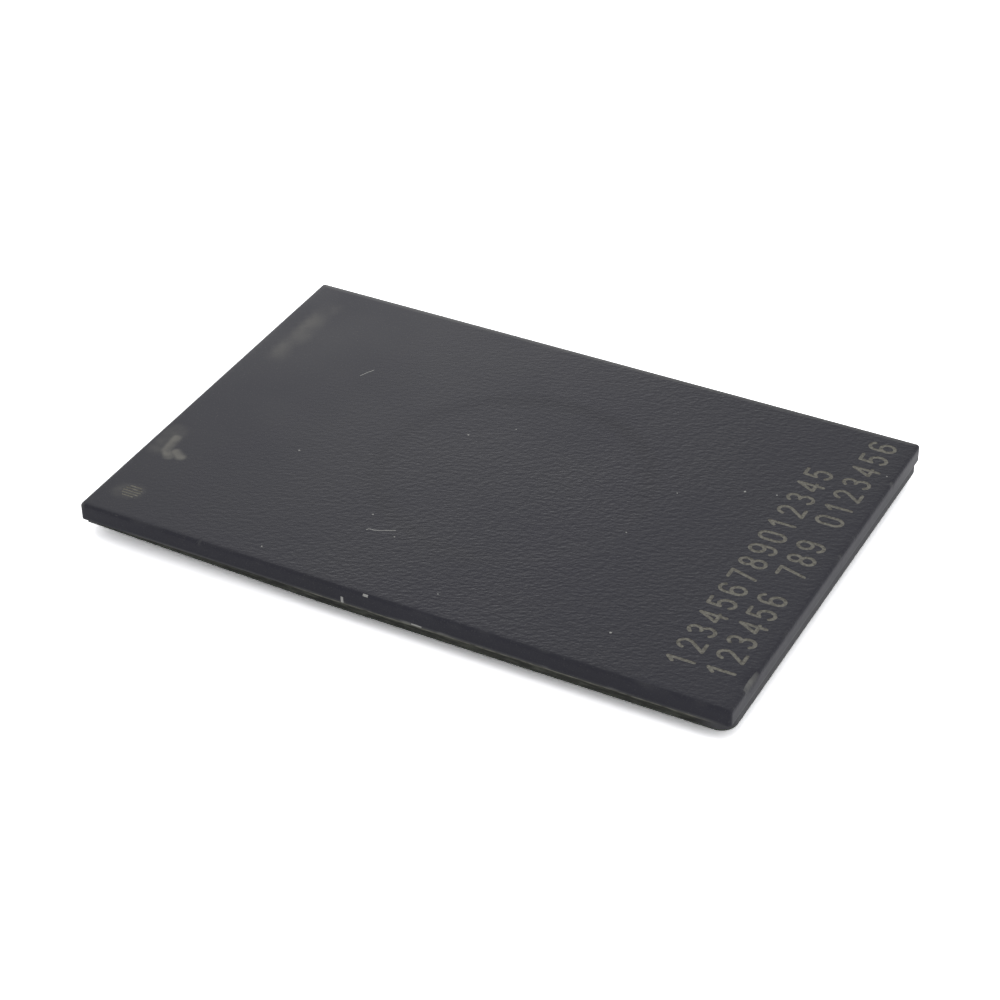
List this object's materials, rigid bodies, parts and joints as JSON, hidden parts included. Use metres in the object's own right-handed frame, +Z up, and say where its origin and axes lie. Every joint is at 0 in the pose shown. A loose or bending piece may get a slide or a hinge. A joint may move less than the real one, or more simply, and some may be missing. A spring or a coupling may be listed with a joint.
{
  "type": "bga chip",
  "caption": "Thin flat black moulded memory package with softly rounded edges, laser marks on top, a laminate base and a grid of solder balls beneath.",
  "frame": {"origin": "centre of the package on the plane of the solder ball tips, which is the centre of the bottom of its box", "axes": "+X along the long side towards the end that carries the two lines of marks, +Y along the short side, +Z up through the mould cap; ball A1 and the round index mark are at the (-X, -Y) corner"},
  "size_m": [0.018, 0.012, 0.001],
  "materials": {
    "mould_compound": "fine moulded matte",
    "solder_mask": "satin, dark green",
    "laminate": "sawn resin and glass",
    "copper": "plated",
    "silicon": "polished",
    "die_attach": "cured film",
    "gold": "drawn wire",
    "solder": "reflowed satin"
  },
  "bodies": {
    "root": {"mould_cap": "mould_compound", "top_solder_mask": "solder_mask", "top_copper": "copper", "substrate_core": "laminate", "vias": "copper", "bottom_copper": "copper", "bottom_solder_mask": "solder_mask", "die_1": "silicon", "die_film_1": "die_attach", "bond_wires_1": "gold", "die_2": "silicon", "die_film_2": "die_attach", "bond_wires_2": "gold", "die_3": "silicon", "die_film_3": "die_attach", "bond_wires_3": "gold", "die_4": "silicon", "die_film_4": "die_attach", "bond_wires_4": "gold", "ball_row_a": "solder", "ball_row_b": "solder", "ball_row_c": "solder", "ball_row_d": "solder", "ball_row_e": "solder", "ball_row_f": "solder", "ball_row_g": "solder", "ball_row_h": "solder", "ball_row_k": "solder", "ball_row_l": "solder", "ball_row_m": "solder", "ball_row_n": "solder", "ball_row_p": "solder", "ball_row_r": "solder", "ball_row_t": "solder", "ball_row_u": "solder"}
  },
  "joints": []
}
